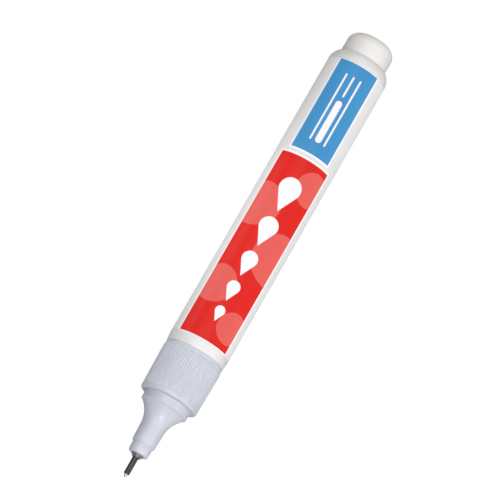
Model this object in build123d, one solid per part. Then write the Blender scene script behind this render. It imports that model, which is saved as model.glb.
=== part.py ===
from build123d import *

import os
from math import cos, pi, sin, sqrt

# A squeeze correction pen with a needle tip and a spring valve, without its cap, in millimetres.
# It lies on its side: X runs along the pen with the tail at +X, Z is up, and the origin lies on the
# resting surface under the middle of the pen. A station is a distance from the tail's end towards
# the tip, and all pieces but the ball are turned about the pen's axis.

# Clearances
press_clearance = 0.02
slide_clearance = 0.08
turn_clearance = 0.1
seat_clearance = 0.05
end_clearance = 0.04

# Tail plug
plug_head_length = 6.2
plug_head_radius = 6.24
plug_edge_radius = 2.8
plug_end_wall = 1.6
plug_ledge = 1.04
plug_shank_wall = 1.0
plug_snap_height = 0.25
plug_snap_length = 0.9
plug_lead_length = 0.5

# Barrel
barrel_radius = 8.0
barrel_wall = 1.05
shoulder_length = 3.3
rear_land_length = 0.2
front_land_length = 0.15
front_taper_length = 2.35
front_taper_drop = 0.23
front_wall = 1.2
tail_bore_length = 4.2

# Label film in its shallow recess
label_recess = 0.1
label_recess_length = 80.5
label_thickness = 0.06
label_end_gap = 0.06
label_seam = 0.5

# Neck and screw thread: a round bead on the neck and one in the collar, half a pitch apart
neck_wall = 1.2
neck_chamfer = 0.3
thread_pitch = 2.0
thread_bead_share = 0.25
thread_reach_share = 1.3
neck_thread_turns = 2.5
collar_thread_turns = 2.0
thread_lead_length = 1.9
mouth_lead_length = 2.3

# Neck gasket
gasket_thickness = 0.8
gasket_inset = 0.1

# Screw collar
collar_rear_step = 0.13
collar_taper = 0.23
collar_wall = 1.29
collar_rear_chamfer = 0.05
collar_rear_rim_length = 0.45
collar_lead_length = 0.9
collar_lead_drop = 0.13
collar_nose_length = 1.05
collar_nose_step = 0.02
collar_rim_radius = 0.5
collar_lip_thickness = 1.65
collar_lip_overlap = 0.5
collar_lip_radius = 0.12
rib_count = 70
rib_depth = 0.28
rib_turn_share = 0.5
rib_crest_share = 0.4
rib_root_share = 0.22

# Nozzle
flange_thickness = 1.5
snap_ring_length = 2.2
snap_ring_height = 0.4
snap_ring_chamfer = 0.2
cone_length = 6.04
spout_length = 4.17
spout_rear_radius = 3.15
spout_front_radius = 3.01
spout_edge_chamfer = 0.08
skirt_length = 4.5
skirt_chamfer = 0.3
skirt_wall = 1.02
nozzle_cavity_length = 8.2

# Tip holder
holder_head_length = 2.8
holder_rear_radius = 2.66
holder_front_radius = 2.6
holder_edge_radius = 0.6
holder_shank_length = 9.6
holder_shank_radius = 2.15
holder_shank_chamfer = 0.3
holder_wall = 0.65
holder_chamber_length = 7.6

# Metal tip
tip_cone_length = 1.1
tip_cone_radius = 1.6
tip_cone_edge = 0.12
tip_shank_length = 4.0
tip_shank_radius = 1.14
tube_length = 4.4
tube_radius = 0.755
tube_wall = 0.195
tube_edge_chamfer = 0.06
mouth_length = 0.5
mouth_step = 0.12

# Valve pin and the bush on it
nose_length = 0.8
pin_tail_length = 0.4
head_length = 1.2
head_radius = 1.25
head_edge_chamfer = 0.2
pilot_length = 0.7
pilot_radius = 0.8

# Spring and its retainer
spring_turns = 5
spring_room = 4.0
wire_radius = 0.14
spring_radius = 1.05
retainer_thickness = 1.2
retainer_inset = 0.2
retainer_edge_chamfer = 0.1
flow_notch_count = 4
flow_notch_width = 0.6
flow_notch_depth = 0.45

# Agitator ball
ball_radius = 2.75
ball_rest_gap = 0.3

# How finely a coil is built up and measured
arcs_per_turn = 4
samples_per_turn = 48

# Radii that follow from the fits
tail_bore_radius = plug_head_radius - plug_ledge
plug_shank_radius = tail_bore_radius - press_clearance
label_floor_radius = barrel_radius - label_recess
bore_radius = label_floor_radius - barrel_wall
collar_rear_radius = barrel_radius - collar_rear_step
collar_front_radius = collar_rear_radius - collar_taper
collar_bore_radius = collar_front_radius - collar_wall
thread_bead_radius = thread_bead_share * thread_pitch
neck_radius = collar_bore_radius - thread_reach_share * thread_bead_radius
neck_bore_radius = neck_radius - neck_wall
flange_radius = collar_bore_radius - turn_clearance
lip_hole_radius = flange_radius - collar_lip_overlap
groove_radius = lip_hole_radius - turn_clearance
snap_ring_radius = lip_hole_radius + snap_ring_height
skirt_radius = neck_bore_radius - slide_clearance
nozzle_cavity_radius = skirt_radius - skirt_wall
holder_bore_radius = holder_shank_radius + press_clearance
chamber_radius = holder_shank_radius - holder_wall
tip_bore_radius = tip_shank_radius + press_clearance
tube_bore_radius = tube_radius - tube_wall
mouth_radius = tube_bore_radius - mouth_step
pin_radius = tube_bore_radius - slide_clearance
nose_radius = mouth_radius - slide_clearance / 2
retainer_radius = chamber_radius - press_clearance

# Stations, from the tail to the tip
shoulder_rear = plug_head_length
shoulder_front = shoulder_rear + shoulder_length
label_rear = shoulder_front + rear_land_length
label_front = label_rear + label_recess_length
land_front = label_front + front_land_length
barrel_front = land_front + front_taper_length
thread_start = barrel_front + thread_lead_length
mouth = thread_start + neck_thread_turns * thread_pitch + mouth_lead_length
gasket_rear = mouth + press_clearance
gasket_front = gasket_rear + gasket_thickness
flange_front = gasket_front + flange_thickness
lip_rear = flange_front + turn_clearance
collar_rear = barrel_front + end_clearance
collar_front = lip_rear + collar_lip_thickness
snap_ring_rear = collar_front + end_clearance
cone_rear = snap_ring_rear + snap_ring_length
cone_front = cone_rear + cone_length
spout_front = cone_front + spout_length
holder_front = spout_front + holder_head_length
holder_rear = spout_front - holder_shank_length
chamber_front = holder_rear + holder_chamber_length
tube_rear = holder_front + tip_cone_length
tube_front = tube_rear + tube_length
seat = tube_front - mouth_length - mouth_step
nose_end = tube_front + nose_length
retainer_rear = holder_rear + retainer_inset
spring_rear = retainer_rear + retainer_thickness
head_rear = spring_rear + spring_room
bore_rear = shoulder_rear + tail_bore_length + bore_radius - tail_bore_radius
neck_cone_front = barrel_front - front_wall
plug_front = shoulder_rear + tail_bore_length + plug_snap_length + plug_lead_length
ball_station = plug_front + ball_radius + ball_rest_gap
pen_length = nose_end


def spot(station, radius):
    return (-station, radius)


def chain(*spots):
    return Polyline(*[spot(*place) for place in spots])


def arc_to_tip(start, end):
    # An arc that leaves its start along the axis towards the tip.
    return TangentArc(spot(*start), spot(*end), tangent=(-1, 0))


def arc_to_tail(start, end):
    # An arc that leaves its start along the axis towards the tail.
    return TangentArc(spot(*start), spot(*end), tangent=(1, 0))


def turned(*lines):
    edges = [edge for line in lines for edge in line.edges()]
    return revolve(make_face(edges), Axis.X)


def sleeve(rear, front, inner_radius, outer_radius):
    return turned(Polyline(
        spot(rear, inner_radius),
        spot(rear, outer_radius),
        spot(front, outer_radius),
        spot(front, inner_radius),
        close=True,
    ))


def helix_point(radius, pitch, start, turn):
    # Right-handed about the direction from the tail to the tip.
    angle = 2 * pi * turn
    return Vector(-start - pitch * turn, radius * cos(angle), -radius * sin(angle))


def helix_direction(radius, pitch, turn):
    angle = 2 * pi * turn
    return Vector(-pitch, -2 * pi * radius * sin(angle), -2 * pi * radius * cos(angle)).normalized()


def biarc(start, start_direction, end, end_direction):
    span = end - start
    both = start_direction + end_direction
    bend = 2 * (1 - start_direction.dot(end_direction))
    lean = span.dot(both)
    reach = (sqrt(lean**2 + bend * span.dot(span)) - lean) / bend
    first_corner = start + start_direction * reach
    second_corner = end - end_direction * reach
    joint = (first_corner + second_corner) / 2
    return [
        Edge.make_tangent_arc(start, start_direction, joint),
        Edge.make_tangent_arc(joint, second_corner - first_corner, end),
    ]


def coil(radius, pitch, start, turns, tube):
    edges = []
    for step in range(round(turns * arcs_per_turn)):
        here = step / arcs_per_turn
        there = (step + 1) / arcs_per_turn
        edges += biarc(
            helix_point(radius, pitch, start, here),
            helix_direction(radius, pitch, here),
            helix_point(radius, pitch, start, there),
            helix_direction(radius, pitch, there),
        )
    path = Wire(edges)
    section = Plane(path.position_at(0), z_dir=path.tangent_at(0)) * Circle(tube)
    return sweep(section, path=path)


def least_coil_gap(radius, pitch, turns, tube):
    steps = range(round(turns * samples_per_turn))
    points = [helix_point(radius, pitch, 0, step / samples_per_turn) for step in steps]
    half_turn = samples_per_turn // 2
    pairs = [(near, far) for near in steps for far in steps if far - near > half_turn]
    return min((points[far] - points[near]).length for near, far in pairs) - 2 * tube


def make_tail_plug():
    tail_side = plug_head_radius - plug_edge_radius
    bead_rear = shoulder_rear + tail_bore_length + seat_clearance
    bead_radius = plug_shank_radius + plug_snap_height
    bead_front = bead_rear + plug_snap_length
    inner_radius = plug_shank_radius - plug_shank_wall
    return turned(
        chain((plug_end_wall, 0), (0, 0), (0, tail_side)),
        arc_to_tail((plug_edge_radius, plug_head_radius), (0, tail_side)),
        chain(
            (plug_edge_radius, plug_head_radius),
            (shoulder_rear - press_clearance, plug_head_radius),
            (shoulder_rear - press_clearance, plug_shank_radius),
            (bead_rear, plug_shank_radius),
            (bead_rear + plug_snap_height, bead_radius),
            (bead_front, bead_radius),
            (plug_front, plug_shank_radius),
            (plug_front, inner_radius),
            (plug_end_wall, inner_radius),
            (plug_end_wall, 0),
        ),
    )


def make_barrel():
    shell = turned(
        arc_to_tail((shoulder_front, barrel_radius), (shoulder_rear, plug_head_radius)),
        chain(
            (shoulder_front, barrel_radius),
            (label_rear, barrel_radius),
            (label_rear, label_floor_radius),
            (label_front, label_floor_radius),
            (label_front, barrel_radius),
            (land_front, barrel_radius),
            (barrel_front, barrel_radius - front_taper_drop),
            (barrel_front, neck_radius),
            (mouth - neck_chamfer, neck_radius),
            (mouth, neck_radius - neck_chamfer),
            (mouth, neck_bore_radius),
            (neck_cone_front, neck_bore_radius),
            (neck_cone_front - bore_radius + neck_bore_radius, bore_radius),
            (bore_rear, bore_radius),
            (shoulder_rear + tail_bore_length, tail_bore_radius),
            (shoulder_rear, tail_bore_radius),
            (shoulder_rear, plug_head_radius),
        ),
    )
    return shell + coil(neck_radius, thread_pitch, thread_start, neck_thread_turns, thread_bead_radius)


def make_label_film():
    inner_radius = label_floor_radius + press_clearance
    outer_radius = inner_radius + label_thickness
    film = sleeve(label_rear + label_end_gap, label_front - label_end_gap, inner_radius, outer_radius)
    seam = Pos(-(label_rear + label_front) / 2, 0, -inner_radius) * Box(
        label_recess_length, label_seam, barrel_radius
    )
    return film - seam


def make_neck_gasket():
    return sleeve(gasket_rear, gasket_front, neck_bore_radius, neck_radius - gasket_inset)


def rib_section(station, crest_radius):
    pitch = 2 * pi / rib_count
    root_radius = crest_radius - rib_depth
    half_crest = pitch * rib_crest_share / 2
    half_gap = pitch * rib_root_share / 2
    corners = []
    for rib in range(rib_count):
        middle = (rib + rib_turn_share) * pitch
        corners += [
            (root_radius, middle - pitch / 2 + half_gap),
            (crest_radius, middle - half_crest),
            (crest_radius, middle + half_crest),
            (root_radius, middle + pitch / 2 - half_gap),
        ]
    outline = [(-station, radius * cos(angle), radius * sin(angle)) for radius, angle in corners]
    return make_face(Polyline(*outline, close=True))


def make_screw_collar():
    ribs_rear = collar_rear + collar_rear_rim_length
    lead_front = ribs_rear + collar_lead_length
    ribs_front = collar_front - collar_nose_length
    lead_radius = collar_rear_radius - collar_lead_drop
    rear_rim_radius = lead_radius - collar_nose_step
    nose_ring_radius = collar_front_radius + collar_nose_step
    rim_side = nose_ring_radius - collar_rim_radius
    ribs = loft(
        [
            rib_section(ribs_rear, lead_radius),
            rib_section(lead_front, collar_rear_radius),
            rib_section(ribs_front, collar_front_radius),
        ],
        ruled=True,
    )
    rear_rim = turned(Polyline(
        spot(collar_rear, 0),
        spot(collar_rear, rear_rim_radius - collar_rear_chamfer),
        spot(collar_rear + collar_rear_chamfer, rear_rim_radius),
        spot(ribs_rear, rear_rim_radius),
        spot(ribs_rear, 0),
        close=True,
    ))
    nose = turned(
        chain((collar_front, 0), (ribs_front, 0), (ribs_front, nose_ring_radius)),
        chain((ribs_front, nose_ring_radius), (collar_front - collar_rim_radius, nose_ring_radius)),
        arc_to_tip((collar_front - collar_rim_radius, nose_ring_radius), (collar_front, rim_side)),
        chain((collar_front, rim_side), (collar_front, 0)),
    )
    lip_side = lip_hole_radius + collar_lip_radius
    hollow = turned(
        chain((collar_front, lip_side), (collar_front, 0), (collar_rear, 0)),
        chain(
            (collar_rear, 0),
            (collar_rear, collar_bore_radius),
            (lip_rear, collar_bore_radius),
            (lip_rear, lip_hole_radius),
            (collar_front - collar_lip_radius, lip_hole_radius),
        ),
        arc_to_tip((collar_front - collar_lip_radius, lip_hole_radius), (collar_front, lip_side)),
    )
    thread = coil(
        collar_bore_radius,
        thread_pitch,
        thread_start + thread_pitch / 2,
        collar_thread_turns,
        thread_bead_radius,
    )
    return rear_rim + ribs + nose - hollow + thread


def make_nozzle():
    cavity_front = gasket_front - skirt_length + nozzle_cavity_length
    funnel_front = cavity_front + nozzle_cavity_radius - holder_bore_radius
    skirt_rear = gasket_front - skirt_length
    ring_side = snap_ring_radius - snap_ring_chamfer
    return turned(
        chain(
            (skirt_rear, nozzle_cavity_radius),
            (skirt_rear, skirt_radius - skirt_chamfer),
            (skirt_rear + skirt_chamfer, skirt_radius),
            (gasket_front, skirt_radius),
            (gasket_front, flange_radius),
            (flange_front, flange_radius),
            (flange_front, groove_radius),
            (snap_ring_rear, groove_radius),
            (snap_ring_rear, ring_side),
            (snap_ring_rear + snap_ring_chamfer, snap_ring_radius),
            (cone_rear - snap_ring_chamfer, snap_ring_radius),
            (cone_rear, ring_side),
        ),
        arc_to_tail((cone_front, spout_rear_radius), (cone_rear, ring_side)),
        chain(
            (cone_front, spout_rear_radius),
            (spout_front - spout_edge_chamfer, spout_front_radius),
            (spout_front, spout_front_radius - spout_edge_chamfer),
            (spout_front, holder_bore_radius),
            (funnel_front, holder_bore_radius),
            (cavity_front, nozzle_cavity_radius),
            (skirt_rear, nozzle_cavity_radius),
        ),
    )


def make_tip_holder():
    edge_rear = holder_front - holder_edge_radius
    edge_side = holder_front_radius - holder_edge_radius
    head_start = spout_front + press_clearance
    return turned(
        chain(
            (holder_rear, chamber_radius),
            (holder_rear, holder_shank_radius - holder_shank_chamfer),
            (holder_rear + holder_shank_chamfer, holder_shank_radius),
            (head_start, holder_shank_radius),
            (head_start, holder_rear_radius),
            (edge_rear, holder_front_radius),
        ),
        arc_to_tip((edge_rear, holder_front_radius), (holder_front, edge_side)),
        chain(
            (holder_front, edge_side),
            (holder_front, tip_bore_radius),
            (chamber_front, tip_bore_radius),
            (chamber_front, chamber_radius),
            (holder_rear, chamber_radius),
        ),
    )


def make_metal_tip():
    shank_rear = holder_front - tip_shank_length
    base = holder_front + press_clearance
    return turned(Polyline(
        spot(shank_rear, tube_bore_radius),
        spot(shank_rear, tip_shank_radius),
        spot(base, tip_shank_radius),
        spot(base, tip_cone_radius),
        spot(base + tip_cone_edge, tip_cone_radius),
        spot(tube_rear, tube_radius),
        spot(tube_front - tube_edge_chamfer, tube_radius),
        spot(tube_front, tube_radius - tube_edge_chamfer),
        spot(tube_front, mouth_radius),
        spot(seat + mouth_step, mouth_radius),
        spot(seat, tube_bore_radius),
        close=True,
    ))


def make_valve_pin():
    # The pin's shoulder runs along the 45 degree seat, one clearance behind it.
    shoulder_line = seat + tube_bore_radius - seat_clearance * sqrt(2)
    tail = retainer_rear - pin_tail_length
    round_start = nose_end - nose_radius
    return turned(
        chain(
            (round_start, nose_radius),
            (shoulder_line - nose_radius, nose_radius),
            (shoulder_line - pin_radius, pin_radius),
            (tail, pin_radius),
            (tail, 0),
            (nose_end, 0),
        ),
        arc_to_tip((round_start, nose_radius), (nose_end, 0)),
    )


def make_pin_head():
    bore = pin_radius + press_clearance
    head_front = head_rear + head_length
    return turned(Polyline(
        spot(head_rear - pilot_length, bore),
        spot(head_rear - pilot_length, pilot_radius),
        spot(head_rear, pilot_radius),
        spot(head_rear, head_radius),
        spot(head_front - head_edge_chamfer, head_radius),
        spot(head_front, head_radius - head_edge_chamfer),
        spot(head_front, bore),
        close=True,
    ))


def make_valve_spring():
    end_gap = wire_radius + press_clearance
    pitch = (spring_room - 2 * end_gap) / spring_turns
    gap = least_coil_gap(spring_radius, pitch, spring_turns, wire_radius)
    print("least gap between the spring's turns", round(gap, 3), "mm")
    return coil(spring_radius, pitch, spring_rear + end_gap, spring_turns, wire_radius)


def make_spring_retainer():
    edge = retainer_radius - retainer_edge_chamfer
    bore = pin_radius + slide_clearance
    plug = turned(Polyline(
        spot(retainer_rear, bore),
        spot(retainer_rear, edge),
        spot(retainer_rear + retainer_edge_chamfer, retainer_radius),
        spot(spring_rear, retainer_radius),
        spot(spring_rear, bore),
        close=True,
    ))
    notch = Pos(-(retainer_rear + spring_rear) / 2, 0, retainer_radius) * Box(
        2 * retainer_thickness, flow_notch_width, 2 * flow_notch_depth
    )
    for turn in range(flow_notch_count):
        plug -= Rot(360 * turn / flow_notch_count, 0, 0) * notch
    return plug


def make_agitator_ball():
    drop = bore_radius - ball_radius - seat_clearance
    return Pos(-ball_station, 0, -drop) * Sphere(ball_radius)


pieces = {
    "tail_plug": make_tail_plug(),
    "barrel": make_barrel(),
    "label_film": make_label_film(),
    "screw_collar": make_screw_collar(),
    "neck_gasket": make_neck_gasket(),
    "nozzle": make_nozzle(),
    "tip_holder": make_tip_holder(),
    "metal_tip": make_metal_tip(),
    "valve_pin": make_valve_pin(),
    "pin_head": make_pin_head(),
    "valve_spring": make_valve_spring(),
    "spring_retainer": make_spring_retainer(),
    "agitator_ball": make_agitator_ball(),
}

os.makedirs("parts", exist_ok=True)
lying = Pos(pen_length / 2, 0, barrel_radius)
for name, piece in pieces.items():
    export_step(lying * piece, "parts/" + name + ".step")
print("pen length", round(pen_length, 3), "mm")
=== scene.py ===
import bmesh
import bpy
from math import atan2, ceil, cos, pi, radians, sin, tan
from mathutils import Matrix, Vector


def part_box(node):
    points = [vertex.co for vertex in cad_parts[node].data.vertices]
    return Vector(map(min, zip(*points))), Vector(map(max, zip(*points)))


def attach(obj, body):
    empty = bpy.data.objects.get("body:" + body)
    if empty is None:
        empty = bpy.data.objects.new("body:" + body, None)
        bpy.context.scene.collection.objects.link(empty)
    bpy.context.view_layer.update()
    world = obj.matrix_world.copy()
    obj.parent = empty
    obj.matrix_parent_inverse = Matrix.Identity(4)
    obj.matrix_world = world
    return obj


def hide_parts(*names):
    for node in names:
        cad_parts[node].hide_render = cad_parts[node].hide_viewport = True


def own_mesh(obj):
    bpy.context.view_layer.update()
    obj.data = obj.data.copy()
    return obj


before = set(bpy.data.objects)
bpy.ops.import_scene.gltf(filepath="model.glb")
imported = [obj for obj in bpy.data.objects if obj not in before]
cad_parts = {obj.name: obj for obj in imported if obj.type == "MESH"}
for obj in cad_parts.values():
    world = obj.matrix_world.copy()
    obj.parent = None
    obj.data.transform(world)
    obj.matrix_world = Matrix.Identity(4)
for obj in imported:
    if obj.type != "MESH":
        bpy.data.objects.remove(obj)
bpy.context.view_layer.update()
mm = 0.001
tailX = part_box("tail_plug")[1].x
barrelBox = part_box("barrel")
axisZ = (barrelBox[0].z + barrelBox[1].z) / 2


def span(node):  # rear station, front station and widest radius of a CAD node
    low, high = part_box(node)
    return (tailX - high.x) / mm, (tailX - low.x) / mm, (high.y - low.y) / 2 / mm


def spot(station, radius, angle):  # angle from straight up towards -Y
    return (tailX - station * mm, -radius * sin(angle) * mm, axisZ + radius * cos(angle) * mm)


# Nodes: one sheet makes nodes, and signals take part in plain sums

class Signal:
    def __init__(self, sheet, socket):
        self.sheet = sheet
        self.socket = socket

    def __add__(self, other):
        return self.sheet.sum("ADD", self, other)

    def __radd__(self, other):
        return self.sheet.sum("ADD", other, self)

    def __sub__(self, other):
        return self.sheet.sum("SUBTRACT", self, other)

    def __rsub__(self, other):
        return self.sheet.sum("SUBTRACT", other, self)

    def __mul__(self, other):
        return self.sheet.sum("MULTIPLY", self, other)

    def __rmul__(self, other):
        return self.sheet.sum("MULTIPLY", other, self)

    def __truediv__(self, other):
        return self.sheet.sum("DIVIDE", self, other)

    def __rtruediv__(self, other):
        return self.sheet.sum("DIVIDE", other, self)

    def __abs__(self):
        return self.sheet.sum("ABSOLUTE", self)

    def beside(self, out):  # another output of the same node
        return Signal(self.sheet, self.socket.node.outputs[out])


class Sheet:
    def __init__(self, tree):
        self.tree = tree

    def node(self, kind, settings=None, values=None, out=0):
        made = self.tree.nodes.new(kind)
        for name, value in (settings or {}).items():
            setattr(made, name, value)
        for name, value in (values or {}).items():
            if isinstance(value, Signal):
                self.tree.links.new(value.socket, made.inputs[name])
            else:
                made.inputs[name].default_value = value
        return Signal(self, made.outputs[out]) if made.outputs else made

    def sum(self, operation, *terms):
        return self.node("ShaderNodeMath", {"operation": operation}, dict(enumerate(terms)))

    def least(self, first, second):
        return self.sum("MINIMUM", first, second)

    def most(self, first, second):
        return self.sum("MAXIMUM", first, second)

    def length(self, first, second):
        return self.sum("SQRT", first * first + second * second)

    def ramp(self, value, low, high):  # 0 at low, 1 at high, smooth between
        settings = {"interpolation_type": "SMOOTHSTEP", "clamp": True}
        values = {"Value": value, "From Min": low, "From Max": high}
        return self.node("ShaderNodeMapRange", settings, values)

    def blend(self, share, under, over):  # colours
        return self.node("ShaderNodeMix", {"data_type": "RGBA"}, {0: share, 6: under, 7: over}, out=2)

    def noise(self, place, scale, detail=3.0):
        values = {"Vector": place, "Scale": scale, "Detail": detail}
        return self.node("ShaderNodeTexNoise", None, values)

    def sway(self, noise, spread):  # the noise's middle becomes 0 and its whole range the spread
        return (noise - 0.5) * spread


# Meshes

meshRules = {
    "mostOfSide": 0.49,  # the share of a side that one round edge may take
    "sameSpot": 1e-8,  # metres
    "onAxis": 1e-4,
    "sharpFrom": 40,  # degrees
}


def arcRun(start, end, steps=14):  # leaves start along the axis and bends to end
    along = end[0] - start[0]
    rise = end[1] - start[1]
    side = 1 if rise > 0 else -1
    bend = (along**2 + rise**2) / (2 * abs(rise))
    sweep = atan2(abs(along), bend - abs(rise))
    way = 1 if along > 0 else -1
    turns = [sweep * step / steps for step in range(steps + 1)]
    return [
        (start[0] + way * bend * sin(turn), start[1] + side * bend * (1 - cos(turn)))
        for turn in turns
    ]


def softened(corners, roundStep=15):  # rounds off (station, radius, softness) corners
    outline = []
    count = len(corners)
    most = meshRules["mostOfSide"]
    for index, corner in enumerate(corners):
        here = Vector(corner[:2])
        softness = corner[2] if len(corner) > 2 else 0
        if not softness:
            outline.append(tuple(here))
            continue
        toLast = Vector(corners[index - 1][:2]) - here
        toNext = Vector(corners[(index + 1) % count][:2]) - here
        opening = toLast.angle(toNext)
        reach = min(softness / tan(opening / 2), toLast.length * most, toNext.length * most)
        bend = reach * tan(opening / 2)
        start = here + toLast.normalized() * reach
        end = here + toNext.normalized() * reach
        inward = (toLast.normalized() + toNext.normalized()).normalized()
        middle = here + inward * bend / sin(opening / 2)
        steps = max(2, ceil((pi - opening) / radians(roundStep)))
        first = start - middle
        turn = first.angle_signed(end - middle)
        for step in range(steps + 1):
            share = -turn * step / steps
            spoke = Vector((
                first.x * cos(share) - first.y * sin(share),
                first.x * sin(share) + first.y * cos(share),
            ))
            outline.append(tuple(middle + spoke))
    return outline


def meshPiece(name, corners, faces, material=None):
    mesh = bpy.data.meshes.new(name)
    mesh.from_pydata(corners, [], faces)
    work = bmesh.new()
    work.from_mesh(mesh)
    bmesh.ops.remove_doubles(work, verts=work.verts, dist=meshRules["sameSpot"])
    bmesh.ops.recalc_face_normals(work, faces=work.faces)
    work.to_mesh(mesh)
    work.free()
    mesh.shade_smooth()
    mesh.set_sharp_from_angle(angle=radians(meshRules["sharpFrom"]))
    piece = bpy.data.objects.new(name, mesh)
    bpy.context.scene.collection.objects.link(piece)
    if material:
        mesh.materials.append(material)
    return piece


def turnedPiece(name, outline, material, around=192):  # a closed outline turned about the pen's axis
    corners = []
    rings = []
    for station, radius in outline:
        count = around if radius > meshRules["onAxis"] else 1
        rings.append([len(corners) + step for step in range(count)])
        corners += [spot(station, radius, 2 * pi * step / around) for step in range(count)]
    faces = []
    for here, there in zip(rings, rings[1:] + rings[:1]):
        for step in range(around):
            after = (step + 1) % around
            quad = [here[step % len(here)], here[after % len(here)]]
            quad += [there[after % len(there)], there[step % len(there)]]
            face = list(dict.fromkeys(quad))
            if len(face) > 2:
                faces.append(face)
    return meshPiece(name, corners, faces, material)


# Geometry nodes: a tree with named inputs, grown on an object and kept as a plain mesh

def growthTree(name, inputs):
    tree = bpy.data.node_groups.new(name, "GeometryNodeTree")
    tree.is_modifier = True
    tree.interface.new_socket("Geometry", in_out="INPUT", socket_type="NodeSocketGeometry")
    for label, kind in inputs.items():
        tree.interface.new_socket(label, in_out="INPUT", socket_type="NodeSocket" + kind)
    tree.interface.new_socket("Geometry", in_out="OUTPUT", socket_type="NodeSocketGeometry")
    sheet = Sheet(tree)
    source = sheet.node("NodeGroupInput").socket.node
    given = {socket.name: Signal(sheet, socket) for socket in source.outputs if socket.name}
    return sheet, given


def closeTree(sheet, shape, material):  # every tree ends in plain geometry with its material
    plain = sheet.node("GeometryNodeRealizeInstances", None, {"Geometry": shape})
    painted = sheet.node("GeometryNodeSetMaterial", None, {"Geometry": plain, "Material": material})
    sheet.node("NodeGroupOutput", None, {"Geometry": painted})


def grow(piece, tree, values):
    modifier = piece.modifiers.new(tree.name, "NODES")
    modifier.node_group = tree
    for item in tree.interface.items_tree:
        if item.in_out == "INPUT" and item.name in values:
            modifier[item.identifier] = values[item.name]
    graph = bpy.context.evaluated_depsgraph_get()
    mesh = bpy.data.meshes.new_from_object(piece.evaluated_get(graph), depsgraph=graph)
    piece.modifiers.clear()
    piece.data = mesh
    return piece


# Finishes

finishRules = {
    "patches": (0.3, 0.7),  # where in the noise's range one tone passes into the other
    "stains": (0.35, 0.7),
    "plasticIor": 1.5,
}


def newFinish(name):
    material = bpy.data.materials.new(name)
    material.use_nodes = True
    material.node_tree.nodes.clear()
    sheet = Sheet(material.node_tree)
    place = sheet.node("ShaderNodeTexCoord", out="Object")
    return material, sheet, place


def closeFinish(sheet, values):
    shader = sheet.node("ShaderNodeBsdfPrincipled", None, values)
    sheet.node("ShaderNodeOutputMaterial", None, {"Surface": shader})


def mouldedPlastic(name, look):  # satin plastic with a slow change of tone and a fine mould grain
    material, sheet, place = newFinish(name)
    cloud = sheet.noise(place, look["cloudScale"])
    grain = sheet.noise(place, look["grainScale"], detail=2.0)
    tone = sheet.blend(sheet.ramp(cloud, *finishRules["patches"]), look["tone"], look["otherTone"])
    spread = look["roughSpread"]
    rough = look["rough"] + sheet.sway(cloud, spread) + sheet.sway(grain, spread)
    bump = {"Strength": look["grainStrength"], "Distance": look["grainDepth"] * mm, "Height": grain}
    closeFinish(sheet, {
        "Base Color": tone,
        "Roughness": rough,
        "Normal": sheet.node("ShaderNodeBump", None, bump),
        "IOR": finishRules["plasticIor"],
        "Subsurface Weight": look["glow"],
        "Subsurface Radius": look["glowReach"],
        "Subsurface Scale": mm,
    })
    return material


def turnedMetal(name, look):  # metal with fine tool rings round the axis
    material, sheet, place = newFinish(name)
    x = sheet.node("ShaderNodeSeparateXYZ", None, {0: place})
    lines = {"W": x, "Scale": look["ringScale"]}
    rings = sheet.node("ShaderNodeTexNoise", {"noise_dimensions": "1D"}, lines)
    stain = sheet.noise(place, look["stainScale"])
    tone = sheet.blend(sheet.ramp(stain, *finishRules["stains"]), look["tone"], look["otherTone"])
    if "coneReflectionTone" in look:  # painted reflection: the cone is drawn lighter, as if it mirrored the holder
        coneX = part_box("metal_tip")[1].x - look["coneReach"] * mm
        coneReflectionShare = sheet.ramp(x, coneX, coneX + look["coneFade"] * mm)
        tone = sheet.blend(coneReflectionShare, tone, look["coneReflectionTone"])
    rough = look["rough"] + sheet.sway(rings, look["roughSpread"])
    bump = {"Strength": look["ringStrength"], "Distance": look["ringDepth"] * mm, "Height": rings}
    closeFinish(sheet, {
        "Base Color": tone,
        "Metallic": look["metal"],
        "Roughness": rough,
        "Normal": sheet.node("ShaderNodeBump", None, bump),
    })
    return material


lavenderLook = {
    "tone": (0.645, 0.67, 0.75, 1),
    "otherTone": (0.67, 0.695, 0.77, 1),
    "cloudScale": 90,
    "rough": 0.3,
    "roughSpread": 0.08,
    "grainScale": 6000,
    "grainStrength": 0.1,
    "grainDepth": 0.02,
    "glow": 0.08,
    "glowReach": (0.7, 0.7, 0.8),
}
barrelLook = {
    "tone": (0.83, 0.825, 0.81, 1),
    "otherTone": (0.86, 0.855, 0.84, 1),
    "cloudScale": 60,
    "rough": 0.36,
    "roughSpread": 0.08,
    "grainScale": 3500,
    "grainStrength": 0.15,
    "grainDepth": 0.02,
    "glow": 0.15,
    "glowReach": (1.0, 0.95, 0.85),
}
plugLook = {
    "tone": (0.88, 0.855, 0.83, 1),
    "otherTone": (0.9, 0.88, 0.855, 1),
    "cloudScale": 110,
    "rough": 0.52,
    "roughSpread": 0.08,
    "grainScale": 5000,
    "grainStrength": 0.35,
    "grainDepth": 0.025,
    "glow": 0.15,
    "glowReach": (1.0, 0.95, 0.85),
}
innerLook = {
    "tone": (0.78, 0.78, 0.78, 1),
    "otherTone": (0.82, 0.82, 0.81, 1),
    "cloudScale": 200,
    "rough": 0.45,
    "roughSpread": 0.06,
    "grainScale": 5000,
    "grainStrength": 0.2,
    "grainDepth": 0.02,
    "glow": 0.1,
    "glowReach": (1.0, 1.0, 1.0),
}
gasketLook = {
    "tone": (0.02, 0.02, 0.022, 1),
    "otherTone": (0.035, 0.035, 0.036, 1),
    "cloudScale": 250,
    "rough": 0.7,
    "roughSpread": 0.1,
    "grainScale": 7000,
    "grainStrength": 0.4,
    "grainDepth": 0.02,
    "glow": 0.0,
    "glowReach": (1.0, 1.0, 1.0),
}
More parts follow.
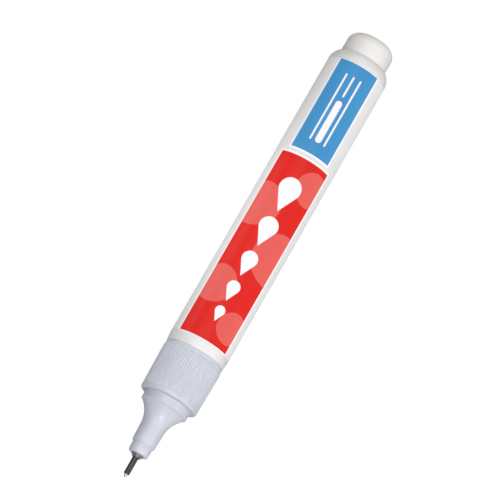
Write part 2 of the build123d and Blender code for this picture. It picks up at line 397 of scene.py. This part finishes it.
darkSteelLook = {
    "tone": (0.06, 0.052, 0.049, 1),
    "otherTone": (0.105, 0.092, 0.087, 1),
    # painted reflection: a lighter tone on the cone, for the holder mirrored in it
    "coneReflectionTone": (0.3, 0.262, 0.25, 1),
    "coneReach": 4.93,  # from the tip's rear end
    "coneFade": 0.25,
    "stainScale": 900,
    "rough": 0.33,
    "roughSpread": 0.2,
    "ringScale": 9000,
    "ringStrength": 0.4,
    "ringDepth": 0.012,
    "metal": 0.6,
}
brightSteelLook = {
    "tone": (0.62, 0.61, 0.6, 1),
    "otherTone": (0.7, 0.69, 0.68, 1),
    "stainScale": 1500,
    "rough": 0.24,
    "roughSpread": 0.1,
    "ringScale": 12000,
    "ringStrength": 0.15,
    "ringDepth": 0.008,
    "metal": 1.0,
}
springSteelLook = dict(
    brightSteelLook,
    tone=(0.42, 0.42, 0.44, 1),
    otherTone=(0.52, 0.52, 0.54, 1),
    rough=0.3,
)
ballSteelLook = dict(
    brightSteelLook,
    tone=(0.64, 0.64, 0.66, 1),
    rough=0.12,
    ringStrength=0.05,
)
brassLook = dict(
    brightSteelLook,
    tone=(0.72, 0.53, 0.22, 1),
    otherTone=(0.78, 0.6, 0.28, 1),
    rough=0.28,
)

lavender = mouldedPlastic("lavenderPlastic", lavenderLook)
barrelWhite = mouldedPlastic("barrelPlastic", barrelLook)
plugWhite = mouldedPlastic("plugPlastic", plugLook)
innerWhite = mouldedPlastic("innerPlastic", innerLook)
gasketBlack = mouldedPlastic("gasketRubber", gasketLook)
darkSteel = turnedMetal("darkSteel", darkSteelLook)
brightSteel = turnedMetal("brightSteel", brightSteelLook)
springSteel = turnedMetal("springSteel", springSteelLook)
ballSteel = turnedMetal("ballSteel", ballSteelLook)
brass = turnedMetal("turnedBrass", brassLook)
print("finishes made")


# Printed film: a blue and a red panel with plain marks, drawn in millimetres on the film

filmPrint = {
    "lean": 1.15,  # the print's middle line lies this far from the top towards -Y
    "edge": 0.09,  # over which the ink's edge fades
    "film": (0.8, 0.79, 0.787, 1),
    "white": (0.93, 0.92, 0.93, 1),
    "grey": (0.79, 0.78, 0.785, 1),
    "border": 0.55,  # white line round a panel
    "blue": (0.072, 0.345, 0.65, 1),
    "blueRear": 9.8,
    "blueFront": 35.7,
    "blueHalf": 5.6,
    "red": (0.78, 0.02, 0.014, 1),
    "paleRed": (0.82, 0.14, 0.12, 1),
    "redRear": 37.5,
    "redFront": 89.8,
    "redHalf": 7.35,
    # pale discs: station, place across the film and radius
    "discs": [
        (43.5, 5.2, 4.6),
        (52.5, -5.6, 6.2),
        (63.5, 6.4, 7.0),
        (75.5, -4.6, 5.2),
        (84.0, 5.0, 4.2),
    ],
    # white drops that shrink towards the tip: station of the middle and radius
    "drops": [(46.0, 2.9), (57.0, 2.5), (66.6, 2.1), (74.8, 1.7), (81.6, 1.3)],
    "dropLength": 2.3,  # from a drop's middle to its point, in radii
    # pictogram of ruled lines with a broad stroke on one: rear, front, half width and place across
    "bars": [
        (13.0, 32.4, 0.25, 2.0),
        (13.0, 19.0, 0.25, 0.0),
        (20.2, 32.4, 0.85, 0.0),
        (13.0, 32.4, 0.25, -2.0),
    ],
    "rough": 0.46,
    "inkGloss": 0.05,  # how much smoother the ink is than the film
    "roughSpread": 0.1,
    "shine": 0.25,
    "softness": 1.0,  # spreads the light as paper does
    "ior": 1.48,
    "waveScale": 120,
    "waveStrength": 0.12,
    "waveDepth": 0.03,
}
filmSizes = {
    "chart": "film",
    "thickness": 0.06,
    "seam": 0.5,
    "around": 240,
    "along": 8,
}


def printedFilm(look):
    material, sheet, place = newFinish("labelPrint")
    rear, front, radius = span("label_film")
    chart = sheet.node("ShaderNodeUVMap", {"uv_map": filmSizes["chart"]})
    parts = sheet.node("ShaderNodeSeparateXYZ", None, {0: chart})
    across = (parts - 0.5) * (2 * pi * radius) - look["lean"]
    along = parts.beside("Y") * (front - rear) + rear

    # each shape below is a distance in millimetres from its edge, less than 0 inside
    def inside(distance):
        return sheet.ramp(distance, look["edge"] / 2, -look["edge"] / 2)

    def nearest(distances):
        least = distances[0]
        for distance in distances[1:]:
            least = sheet.least(least, distance)
        return least

    def panel(low, high, half):
        offEnds = abs(along - (low + high) / 2) - (high - low) / 2
        return sheet.most(offEnds, abs(across) - half)

    def disc(station, aside, size):
        return sheet.length(along - station, across - aside) - size

    def bar(low, high, half, aside):  # a bar with round ends along the pen
        past = sheet.most(sheet.most(low + half - along, along - high + half), 0.0)
        return sheet.length(past, across - aside) - half

    def taper(low, high, halfLow, halfHigh):
        half = (along - low) * ((halfHigh - halfLow) / (high - low)) + halfLow
        return sheet.most(sheet.most(low - along, along - high), abs(across) - half)

    def drop(station, size):
        reach = look["dropLength"]
        lean = 1 / reach
        shoulder = size * (1 - lean**2)**0.5
        point = taper(station + size * lean, station + size * reach, shoulder, 0.0)
        return sheet.least(disc(station, 0.0, size), point)

    blueEdge = panel(look["blueRear"], look["blueFront"], look["blueHalf"])
    redEdge = panel(look["redRear"], look["redFront"], look["redHalf"])
    blueMask = inside(blueEdge)
    redMask = inside(redEdge)
    inkMask = sheet.most(blueMask, redMask)
    borderMask = inside(sheet.least(blueEdge, redEdge) - look["border"])
    discMask = inside(nearest([disc(*each) for each in look["discs"]]))
    marks = [drop(*each) for each in look["drops"]] + [bar(*each) for each in look["bars"]]
    markMask = inside(nearest(marks))

    tone = sheet.blend(discMask, look["film"], look["grey"])
    tone = sheet.blend(borderMask, tone, look["white"])
    tone = sheet.blend(blueMask, tone, look["blue"])
    tone = sheet.blend(redMask, tone, sheet.blend(discMask, look["red"], look["paleRed"]))
    tone = sheet.blend(markMask * inkMask, tone, look["white"])
    wave = sheet.noise(place, look["waveScale"])
    bump = {"Strength": look["waveStrength"], "Distance": look["waveDepth"] * mm, "Height": wave}
    closeFinish(sheet, {
        "Base Color": tone,
        "Roughness": look["rough"] - inkMask * look["inkGloss"] + sheet.sway(wave, look["roughSpread"]),
        "Specular IOR Level": look["shine"],
        "Diffuse Roughness": look["softness"],
        "Normal": sheet.node("ShaderNodeBump", None, bump),
        "IOR": look["ior"],
    })
    return material


def filmPiece():
    size = filmSizes
    rear, front, radius = span("label_film")
    halfTurn = pi - size["seam"] / 2 / radius
    corners = []
    chart = []
    for depth in (0, size["thickness"]):
        for row in range(size["along"] + 1):
            station = rear + (front - rear) * row / size["along"]
            for column in range(size["around"] + 1):
                angle = halfTurn * (2 * column / size["around"] - 1)
                corners.append(spot(station, radius - depth, angle))
                chart.append((0.5 + angle / (2 * pi), row / size["along"]))
    wide = size["around"] + 1
    layer = wide * (size["along"] + 1)
    faces = []
    for row in range(size["along"]):
        for column in range(size["around"]):
            here = row * wide + column
            quad = [here, here + 1, here + wide + 1, here + wide]
            faces.append(quad)
            faces.append([layer + index for index in reversed(quad)])
    rim = list(range(wide))
    rim += [row * wide + wide - 1 for row in range(1, size["along"] + 1)]
    rim += [size["along"] * wide + column for column in range(wide - 2, -1, -1)]
    rim += [row * wide for row in range(size["along"] - 1, 0, -1)]
    for here, there in zip(rim, rim[1:] + rim[:1]):
        faces.append([there, here, layer + here, layer + there])
    piece = meshPiece("labelFilm", corners, faces, printedFilm(filmPrint))
    sheetMap = piece.data.uv_layers.new(name=size["chart"])
    for loop in piece.data.loops:
        sheetMap.data[loop.index].uv = chart[loop.vertex_index]
    return piece


label = filmPiece()
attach(label, "barrel_unit")
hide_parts("label_film")
print("label film printed")


# Barrel, its neck thread and the tail plug

barrelSizes = {
    "shoulderLength": 3.3,
    "plugRadius": 6.24,
    "labelGap": 0.06,
    "recess": 0.1,
    "frontLand": 0.15,
    "collarGap": 0.04,
    "frontRadius": 7.77,
    "frontWall": 1.2,
    "neckRadius": 5.7,
    "neckBore": 4.5,
    "mouthLead": 0.3,
    "bore": 6.85,
    "tailBore": 5.2,
    "tailBoreLength": 4.2,
    "labelSoft": 0.04,
    "landSoft": 1.5,
    "frontSoft": 0.06,
    "neckSoft": 0.2,
    "mouthSoft": 0.1,
}
barrelFront = span("screw_collar")[0] - barrelSizes["collarGap"]


def barrelPiece():
    size = barrelSizes
    rear, mouth, radius = span("barrel")
    filmRear, filmFront, _ = span("label_film")
    labelRear = filmRear - size["labelGap"]
    labelFront = filmFront + size["labelGap"]
    floor = radius - size["recess"]
    shoulder = arcRun((rear + size["shoulderLength"], radius), (rear, size["plugRadius"]))
    coneFront = barrelFront - size["frontWall"]
    tailBoreFront = rear + size["tailBoreLength"]
    corners = [
        *reversed(shoulder),
        (labelRear, radius, size["labelSoft"]),
        (labelRear, floor),
        (labelFront, floor),
        (labelFront, radius, size["labelSoft"]),
        (labelFront + size["frontLand"], radius, size["landSoft"]),
        (barrelFront, size["frontRadius"], size["frontSoft"]),
        (barrelFront, size["neckRadius"], size["neckSoft"]),
        (mouth - size["mouthLead"], size["neckRadius"], size["mouthSoft"]),
        (mouth, size["neckRadius"] - size["mouthLead"], size["mouthSoft"]),
        (mouth, size["neckBore"], size["mouthSoft"]),
        (coneFront, size["neckBore"]),
        (coneFront - (size["bore"] - size["neckBore"]), size["bore"]),
        (tailBoreFront + (size["bore"] - size["tailBore"]), size["bore"]),
        (tailBoreFront, size["tailBore"]),
        (rear, size["tailBore"]),
    ]
    return turnedPiece("barrelShell", softened(corners), barrelWhite)


coilRules = {"stepsInTurn": 96, "wireSides": 14, "thinnest": 0.02}


def coilTree():  # a round bead or wire that winds towards the tip and thins out at its ends
    sheet, given = growthTree("windingCoil", {
        "Turns": "Float",
        "Radius": "Float",
        "Pitch": "Float",
        "Wire": "Float",
        "Start": "Vector",
        "Run Out": "Float",
        "Material": "Material",
    })
    facing = Matrix(((0, 0, -1), (1, 0, 0), (0, -1, 0))).to_euler()  # the spiral's axis to the tip
    path = sheet.node("GeometryNodeCurveSpiral", None, {
        "Resolution": coilRules["stepsInTurn"],
        "Rotations": given["Turns"],
        "Start Radius": given["Radius"],
        "End Radius": given["Radius"],
        "Height": given["Pitch"] * given["Turns"],
    })
    laid = sheet.node("GeometryNodeTransform", None, {
        "Geometry": path,
        "Translation": given["Start"],
        "Rotation": facing,
    })
    share = sheet.node("GeometryNodeSplineParameter")
    toEnd = sheet.least(share, 1 - share)
    thick = sheet.least(toEnd / given["Run Out"] + coilRules["thinnest"], 1.0)
    shaped = sheet.node("GeometryNodeSetCurveRadius", None, {"Curve": laid, "Radius": thick})
    section = {"Resolution": coilRules["wireSides"], "Radius": given["Wire"]}
    ring = sheet.node("GeometryNodeCurvePrimitiveCircle", None, section)
    tube = sheet.node("GeometryNodeCurveToMesh", None, {
        "Curve": shaped,
        "Profile Curve": ring,
        "Fill Caps": True,
    })
    smooth = sheet.node("GeometryNodeSetShadeSmooth", None, {"Geometry": tube})
    closeTree(sheet, smooth, given["Material"])
    return sheet.tree


coil = coilTree()


def coilPiece(name, turns, radius, pitch, wire, start, runOut, material):
    piece = bpy.data.objects.new(name, bpy.data.meshes.new(name))
    bpy.context.scene.collection.objects.link(piece)
    return grow(piece, coil, {
        "Turns": turns,
        "Radius": radius * mm,
        "Pitch": pitch * mm,
        "Wire": wire * mm,
        "Start": (tailX - start * mm, 0.0, axisZ),
        "Run Out": runOut,
        "Material": material,
    })


threadSizes = {"lead": 1.9, "pitch": 2.0, "bead": 0.5, "turns": 2.5, "runOut": 0.06}
threadStart = barrelFront + threadSizes["lead"]
barrel = barrelPiece()
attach(barrel, "barrel_unit")
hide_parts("barrel")
neckThread = coilPiece(
    "neckThread",
    threadSizes["turns"],
    barrelSizes["neckRadius"],
    threadSizes["pitch"],
    threadSizes["bead"],
    threadStart,
    threadSizes["runOut"],
    barrelWhite,
)
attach(neckThread, "barrel_unit")

plugSizes = {
    "edge": 2.8,
    "barrelGap": 0.02,
    "shank": 5.18,
    "lead": 0.4,
    "wall": 1.0,
    "endWall": 1.6,
    "dimple": 1.5,
    "dimpleDepth": 0.16,
    "dimpleSlope": 0.1,
    "gate": 0.5,
    "gateHeight": 0.1,
    "gateSlope": 0.08,
    "gateSoft": 0.06,
    "dimpleSoft": 0.08,
    "headSoft": 0.15,
}


def plugPiece():
    size = plugSizes
    rear, front, radius = span("tail_plug")
    roundEdge = arcRun((rear + size["edge"], radius), (rear, radius - size["edge"]))
    dimpleFloor = rear + size["dimpleDepth"]
    headFront = span("barrel")[0] - size["barrelGap"]
    corners = [
        (dimpleFloor - size["gateHeight"], 0),
        (dimpleFloor - size["gateHeight"], size["gate"], size["gateSoft"]),
        (dimpleFloor, size["gate"] + size["gateSlope"]),
        (dimpleFloor, size["dimple"] - size["dimpleSlope"]),
        (rear, size["dimple"] + size["dimpleSlope"], size["dimpleSoft"]),
        *reversed(roundEdge),
        (headFront, radius, size["headSoft"]),
        (headFront, size["shank"]),
        (front - size["lead"], size["shank"]),
        (front, size["shank"] - size["lead"]),
        (front, size["shank"] - size["wall"]),
        (rear + size["endWall"], size["shank"] - size["wall"]),
        (rear + size["endWall"], 0),
    ]
    return turnedPiece("tailPlug", softened(corners), plugWhite)


plug = plugPiece()
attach(plug, "barrel_unit")
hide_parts("tail_plug")
print("barrel, neck thread and tail plug turned")


# Screw collar: a smooth nut whose flutes are sunk between the ribs by a rule

collarSizes = {
    "ribs": 70,
    "fineness": 12,  # mesh steps in a rib
    "depth": 0.28,
    "crestEnd": 0.35,  # where on a wave from 1 to -1 a crest ends and a flute's floor starts
    "floorStart": -0.75,
    "rimLength": 0.45,
    "rimSoft": 0.06,
    "leadLength": 0.9,
    "leadDrop": 0.13,
    "noseLength": 1.05,
    "frontCrest": 7.64,
    "noseRadius": 7.66,
    "noseSoft": 0.5,
    "lip": 5.75,
    "lipThickness": 1.65,
    "lipSoft": 0.04,
    "seatSoft": 0.08,
    "noseStep": 0.02,
    "bore": 6.35,
    "boreSoft": 0.1,
    "skin": 0.25,  # flutes are sunk only in what lies above the front crest less this
    "runOut": 0.45,
    "rings": 14,
    "endRings": 4,
    "roundStep": 12,
    "threadTurns": 2.0,
}


def ribTree():
    sheet, given = growthTree("collarRibs", {
        "Ribs": "Float",
        "Turn": "Float",
        "Depth": "Float",
        "Rear": "Float",
        "Front": "Float",
        "Run Out": "Float",
        "Inner Radius": "Float",
        "Axis Height": "Float",
        "Material": "Material",
    })
    place = sheet.node("GeometryNodeInputPosition")
    x = sheet.node("ShaderNodeSeparateXYZ", None, {0: place})
    y = x.beside("Y")
    z = x.beside("Z") - given["Axis Height"]
    angle = sheet.sum("ARCTAN2", z, y) - given["Turn"]
    wave = sheet.sum("COSINE", angle * given["Ribs"])
    flute = sheet.ramp(wave, collarSizes["crestEnd"], collarSizes["floorStart"])
    fromRear = sheet.ramp(given["Rear"] - x, 0.0, given["Run Out"])
    fromFront = sheet.ramp(x - given["Front"], 0.0, given["Run Out"])
    radius = sheet.length(y, z)
    sink = flute * fromRear * fromFront * given["Depth"] / radius
    inward = sheet.node("ShaderNodeCombineXYZ", None, {"Y": 0 - y, "Z": 0 - z})
    shift = sheet.node("ShaderNodeVectorMath", {"operation": "SCALE"}, {0: inward, "Scale": sink})
    bounds = {0: radius, 1: given["Inner Radius"]}
    outer = sheet.node("FunctionNodeCompare", {"operation": "GREATER_THAN"}, bounds)
    fluted = sheet.node("GeometryNodeSetPosition", None, {
        "Geometry": given["Geometry"],
        "Selection": outer,
        "Offset": shift,
    })
    closeTree(sheet, fluted, given["Material"])
    return sheet.tree


def collarPiece():
    size = collarSizes
    rear, front, crest = span("screw_collar")
    ribRear = rear + size["rimLength"]
    leadFront = ribRear + size["leadLength"]
    ribFront = front - size["noseLength"]
    lipRear = front - size["lipThickness"]
    rim = crest - size["leadDrop"]
    shares = [ring / size["rings"] for ring in range(size["rings"] + 1)]
    lead = [
        (ribRear + size["leadLength"] * share, rim + size["leadDrop"] * share)
        for share in shares[:-1]
    ]
    side = [
        (leadFront + (ribFront - leadFront) * share, crest + (size["frontCrest"] - crest) * share)
        for share in shares
    ]
    ends = [size["runOut"] * step / size["endRings"] for step in range(1, size["endRings"])]
    corners = [
        (rear, size["bore"], size["boreSoft"]),
        (rear, rim, size["rimSoft"]),
        *lead,
        *side[:-1],
        *[(ribFront - step, size["frontCrest"]) for step in reversed(ends)],
        side[-1],
        (ribFront + size["noseStep"], size["noseRadius"]),
        (front, size["noseRadius"], size["noseSoft"]),
        (front, size["lip"], size["lipSoft"]),
        (lipRear, size["lip"], size["seatSoft"]),
        (lipRear, size["bore"]),
    ]
    around = size["ribs"] * size["fineness"]
    smooth = turnedPiece("collarNut", softened(corners, size["roundStep"]), None, around)
    return grow(smooth, ribTree(), {
        "Ribs": float(size["ribs"]),
        "Turn": pi / size["ribs"],
        "Depth": size["depth"] * mm,
        "Rear": tailX - ribRear * mm,
        "Front": tailX - ribFront * mm,
        "Run Out": size["runOut"] * mm,
        "Inner Radius": (size["frontCrest"] - size["skin"]) * mm,
        "Axis Height": axisZ,
        "Material": lavender,
    })


collar = collarPiece()
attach(collar, "collar")
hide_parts("screw_collar")
collarThread = coilPiece(
    "collarThread",
    collarSizes["threadTurns"],
    collarSizes["bore"],
    threadSizes["pitch"],
    threadSizes["bead"],
    threadStart + threadSizes["pitch"] / 2,
    threadSizes["runOut"],
    lavender,
)
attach(collarThread, "collar")
print("collar ribbed,", len(collar.data.polygons), "faces")


# Nozzle, tip holder, metal tip and valve pin

nozzleSizes = {
    "cavity": 3.4,
    "cavityLength": 8.2,
    "skirt": 4.42,
    "skirtLength": 4.5,
    "flangeThickness": 1.5,
    "groove": 5.65,
    "collarGap": 0.02,
    "ring": 6.15,
    "ringLength": 2.22,
    "coneRadius": 5.95,
    "spoutLength": 4.17,
    "spoutRear": 3.15,
    "spoutFront": 3.01,
    "bore": 2.17,
    "coneSteps": 20,
    "rearSoft": 0.1,
    "skirtSoft": 0.3,
    "flangeSoft": 0.1,
    "ringSoft": 0.03,
    "ringLead": 0.04,
    "leadSoft": 0.18,
    "spoutSoft": 0.26,
    "boreSoft": 0.06,
}


def nozzlePiece():
    size = nozzleSizes
    rear, front, flange = span("nozzle")
    flangeRear = rear + size["skirtLength"]
    flangeFront = flangeRear + size["flangeThickness"]
    ringRear = span("screw_collar")[1] + size["collarGap"]
    coneRear = ringRear + size["ringLength"]
    coneFront = front - size["spoutLength"]
    cavityFront = rear + size["cavityLength"]
    cone = arcRun((coneFront, size["spoutRear"]), (coneRear, size["coneRadius"]), size["coneSteps"])
    corners = [
        (rear, size["cavity"], size["rearSoft"]),
        (rear, size["skirt"], size["skirtSoft"]),
        (flangeRear, size["skirt"]),
        (flangeRear, flange, size["flangeSoft"]),
        (flangeFront, flange, size["flangeSoft"]),
        (flangeFront, size["groove"]),
        (ringRear, size["groove"]),
        (ringRear, size["ring"], size["ringSoft"]),
        (coneRear - size["ringLead"], size["ring"], size["leadSoft"]),
        *reversed(cone),
        (front, size["spoutFront"], size["spoutSoft"]),
        (front, size["bore"], size["boreSoft"]),
        (cavityFront + size["cavity"] - size["bore"], size["bore"]),
        (cavityFront, size["cavity"]),
    ]
    return turnedPiece("nozzleShell", softened(corners), lavender)


holderSizes = {
    "chamber": 1.5,
    "chamberLength": 7.6,
    "shank": 2.15,
    "headLength": 2.82,
    "headRadius": 2.66,
    "frontRadius": 2.6,
    "bore": 1.16,
    "shankSoft": 0.3,
    "headSoft": 0.03,
    "frontSoft": 0.6,
    "boreSoft": 0.05,
    "roundStep": 10,
    "around": 144,
}


def holderPiece():
    size = holderSizes
    rear, front, _ = span("tip_holder")
    chamberFront = rear + size["chamberLength"]
    headRear = front - size["headLength"]
    corners = [
        (rear, size["chamber"], size["boreSoft"]),
        (rear, size["shank"], size["shankSoft"]),
        (headRear, size["shank"]),
        (headRear, size["headRadius"], size["headSoft"]),
        (front, size["frontRadius"], size["frontSoft"]),
        (front, size["bore"], size["boreSoft"]),
        (chamberFront, size["bore"]),
        (chamberFront, size["chamber"]),
    ]
    return turnedPiece("tipHolder", softened(corners, size["roundStep"]), lavender, size["around"])


tipSizes = {
    "shank": 1.14,
    "shankLength": 4.02,
    "coneRadius": 1.6,
    "rimLength": 0.14,
    "tube": 0.755,
    "tubeLength": 4.4,
    "bore": 0.56,
    "mouth": 0.44,
    "seatDepth": 0.62,
    "shankSoft": 0.08,
    "rimSoft": 0.04,
    "coneSoft": 0.1,
    "tubeSoft": 0.25,
    "endSoft": 0.09,
    "mouthSoft": 0.04,
    "roundStep": 10,
    "around": 128,
}


def metalTipPiece():
    size = tipSizes
    rear, front, _ = span("metal_tip")
    coneRear = rear + size["shankLength"]
    seat = front - size["seatDepth"]
    corners = [
        (rear, size["bore"]),
        (rear, size["shank"], size["shankSoft"]),
        (coneRear, size["shank"]),
        (coneRear, size["coneRadius"], size["rimSoft"]),
        (coneRear + size["rimLength"], size["coneRadius"], size["coneSoft"]),
        (front - size["tubeLength"], size["tube"], size["tubeSoft"]),
        (front, size["tube"], size["endSoft"]),
        (front, size["mouth"], size["mouthSoft"]),
        (seat + size["bore"] - size["mouth"], size["mouth"]),
        (seat, size["bore"]),
    ]
    return turnedPiece("metalTip", softened(corners, size["roundStep"]), darkSteel, size["around"])


pinSizes = {"pin": 0.48, "nose": 0.4, "noseLength": 1.52, "rearSoft": 0.08, "around": 96}


def valvePinPiece():
    size = pinSizes
    rear, front, _ = span("valve_pin")
    shoulder = front - size["noseLength"]
    dome = arcRun((front - size["nose"], size["nose"]), (front, 0.0))
    corners = [
        (rear, 0.0),
        (rear, size["pin"], size["rearSoft"]),
        (shoulder, size["pin"]),
        (shoulder + size["pin"] - size["nose"], size["nose"]),
        *dome,
    ]
    return turnedPiece("valvePin", softened(corners), brightSteel, size["around"])


turnedParts = [
    (nozzlePiece(), "nozzle_unit", "nozzle", "lavender_plastic"),
    (holderPiece(), "nozzle_unit", "tip_holder", "lavender_plastic"),
    (metalTipPiece(), "nozzle_unit", "metal_tip", "dark_steel"),
    (valvePinPiece(), "valve", "valve_pin", "bright_steel"),
]
for piece, body, node, slotName in turnedParts:
    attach(piece, body)
    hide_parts(node)
print("nozzle, holder, tip and pin turned")


# Valve spring, which shortens as the pin is pressed

springSizes = {"turns": 5.0, "wire": 0.14, "runOut": 0.001, "endGap": 0.02, "pressed": 0.8}
retainerFront = span("spring_retainer")[1]


def springPiece():
    size = springSizes
    rear, front, radius = span("valve_spring")
    start = retainerFront + size["wire"] + size["endGap"]
    pitch = (front - rear - 2 * size["wire"]) / size["turns"]
    return coilPiece(
        "valveSpring",
        size["turns"],
        radius - size["wire"],
        pitch,
        size["wire"],
        start,
        size["runOut"],
        springSteel,
    )


spring = springPiece()
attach(spring, "nozzle_unit")
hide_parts("valve_spring")
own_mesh(spring)
print("spring wound")


# CAD nodes that stay as they are

keptNodes = {
    "neck_gasket": (gasketBlack, "gasket_rubber"),
    "pin_head": (brass, "turned_brass"),
    "spring_retainer": (innerWhite, "inner_plastic"),
    "agitator_ball": (ballSteel, "ball_steel"),
}
for node, (material, slotName) in keptNodes.items():
    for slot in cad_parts[node].material_slots:
        slot.material = material
print("inner nodes given their finishes")


# Stage, light and camera

stageLook = {
    "reach": 8.0,  # metres, as the two distances of the glow
    "around": 96,
    "tone": (0.45, 0.45, 0.45, 1),
    "rough": 0.86,
    "roughSpread": 0.1,
    "fibreScale": 300,
    "floorDrop": 0.2,
    "veil": 0.6,  # how much of the floor it covers
    "veilDrop": 0.1,
    "nearGlow": (1.48, 1.48, 1.48, 1),
    "nearReach": 0.2,
    "farGlow": (1.62, 1.62, 1.62, 1),
    "farReach": 2.0,
    "wallGlow": (0.97, 0.97, 0.97, 1),
    "sky": 0.08,  # strength of the light from all round
}


def stagePiece(name, corners, faces, material):
    mesh = bpy.data.meshes.new(name)
    mesh.from_pydata(corners, [], faces)
    mesh.materials.append(material)
    piece = bpy.data.objects.new(name, mesh)
    bpy.context.scene.collection.objects.link(piece)
    return piece


def forCameraOnly(piece):
    piece.visible_diffuse = False
    piece.visible_glossy = False
    piece.visible_transmission = False
    piece.visible_shadow = False


def stageRing(height):
    reach = stageLook["reach"]
    turns = [2 * pi * step / stageLook["around"] for step in range(stageLook["around"])]
    return [(reach * cos(turn), reach * sin(turn), height) for turn in turns]


def floorDisc(name, drop, material):
    rim = stageRing(-drop * mm)
    return stagePiece(name, rim, [list(range(len(rim)))], material)


def glowOnly(sheet, glow, alpha=1.0):
    closeFinish(sheet, {
        "Base Color": (0, 0, 0, 1),
        "Roughness": 1.0,
        "Specular IOR Level": 0.0,
        "Emission Color": glow,
        "Emission Strength": 1.0,
        "Alpha": alpha,
    })


def paperFloor():
    look = stageLook
    material, sheet, place = newFinish("floorPaper")
    fibre = sheet.noise(place, look["fibreScale"])
    closeFinish(sheet, {
        "Base Color": look["tone"],
        "Roughness": look["rough"] + fibre * look["roughSpread"],
        "Specular IOR Level": 0.0,
    })
    floorDisc("floor", look["floorDrop"], material)


def floorVeil():  # makes the grey floor white to the camera and lights nothing
    look = stageLook
    material, sheet, place = newFinish("floorVeil")
    away = sheet.node("ShaderNodeVectorMath", {"operation": "LENGTH"}, {0: place}, out="Value")
    far = sheet.ramp(away, look["nearReach"], look["farReach"])
    glowOnly(sheet, sheet.blend(far, look["nearGlow"], look["farGlow"]), look["veil"])
    forCameraOnly(floorDisc("veil", look["veilDrop"], material))


def backdrop():  # a pale wall all round that only the camera sees
    low = stageRing(-stageLook["reach"])
    high = stageRing(stageLook["reach"])
    count = len(low)
    faces = []
    for step in range(count):
        after = (step + 1) % count
        faces.append((step, after, count + after, count + step))
    material, sheet, _ = newFinish("backdropPaper")
    glowOnly(sheet, stageLook["wallGlow"])
    forCameraOnly(stagePiece("backdrop", low + high, faces, material))


lightDistance = 1.8  # metres
# each light's direction from the pen, width in metres and power in watts
softLights = {
    "topLight": ((-0.1, 0.0, 0.97), 2.0, 18.8),
    "keyLight": ((-0.56, -0.42, 0.71), 0.5, 8.8),
    "tipLight": ((-0.95, -0.15, 0.3), 0.9, 3.4),
    "sideLight": ((-0.15, -0.84, 0.52), 1.2, 9.0),
    "fillLight": ((0.3, 0.85, 0.5), 1.6, 0.2),
    "tailLight": ((0.92, 0.05, 0.38), 0.8, 6.5),
}


# a small light close to the barrel's shaded side, as a white card there would give
cardSizes = {
    "station": 58.0,
    "reach": 29.0,  # from the axis towards +Y
    "height": 26.0,
    "length": 54.0,
    "width": 15.0,
    "power": 0.0043,  # watts
}


def areaLight(name, shape, sizes, power, location, toward):
    lamp = bpy.data.lights.new(name, "AREA")
    lamp.shape = shape
    lamp.size, lamp.size_y = sizes
    lamp.energy = power
    light = bpy.data.objects.new(name, lamp)
    light.location = location
    light.rotation_mode = "QUATERNION"
    light.rotation_quaternion = toward.to_track_quat("Z", "Y")
    light.visible_camera = False
    bpy.context.scene.collection.objects.link(light)


def softLight(name, toward, width, power):
    direction = Vector(toward).normalized()
    areaLight(name, "DISK", (width, width), power, direction * lightDistance, direction)


def cardLight():
    size = cardSizes
    middle = Vector((tailX - size["station"] * mm, 0, axisZ))
    place = Vector((middle.x, size["reach"] * mm, size["height"] * mm))
    sizes = (size["length"] * mm, size["width"] * mm)
    areaLight("cardLight", "RECTANGLE", sizes, size["power"], place, place - middle)


def paleSky():
    world = bpy.data.worlds.new("studio")
    world.use_nodes = True
    background = world.node_tree.nodes["Background"]
    background.inputs["Color"].default_value = (1, 1, 1, 1)
    background.inputs["Strength"].default_value = stageLook["sky"]
    bpy.context.scene.world = world


cameraSizes = {
    "azimuth": -61.17,  # degrees
    "elevation": 73.163,
    "distance": 1108.81,
    "target": (1.26, 1.067, 8.036),
    "lens": 324.0,
    "sensor": 36.0,
}


def photoCamera():
    size = cameraSizes
    turn = radians(size["azimuth"])
    lift = radians(size["elevation"])
    back = Vector((sin(turn) * cos(lift), -cos(turn) * cos(lift), sin(lift)))
    lens = bpy.data.cameras.new("photoCamera")
    lens.sensor_width = size["sensor"]
    lens.lens = size["lens"]
    camera = bpy.data.objects.new("photoCamera", lens)
    camera.location = (Vector(size["target"]) + back * size["distance"]) * mm
    camera.rotation_mode = "QUATERNION"
    camera.rotation_quaternion = back.to_track_quat("Z", "Y")
    bpy.context.scene.collection.objects.link(camera)
    bpy.context.scene.camera = camera


paperFloor()
floorVeil()
backdrop()
for name, (toward, width, power) in softLights.items():
    softLight(name, toward, width, power)
cardLight()
paleSky()
bpy.context.scene.view_settings.view_transform = "Standard"
photoCamera()
print("stage, light and camera set")
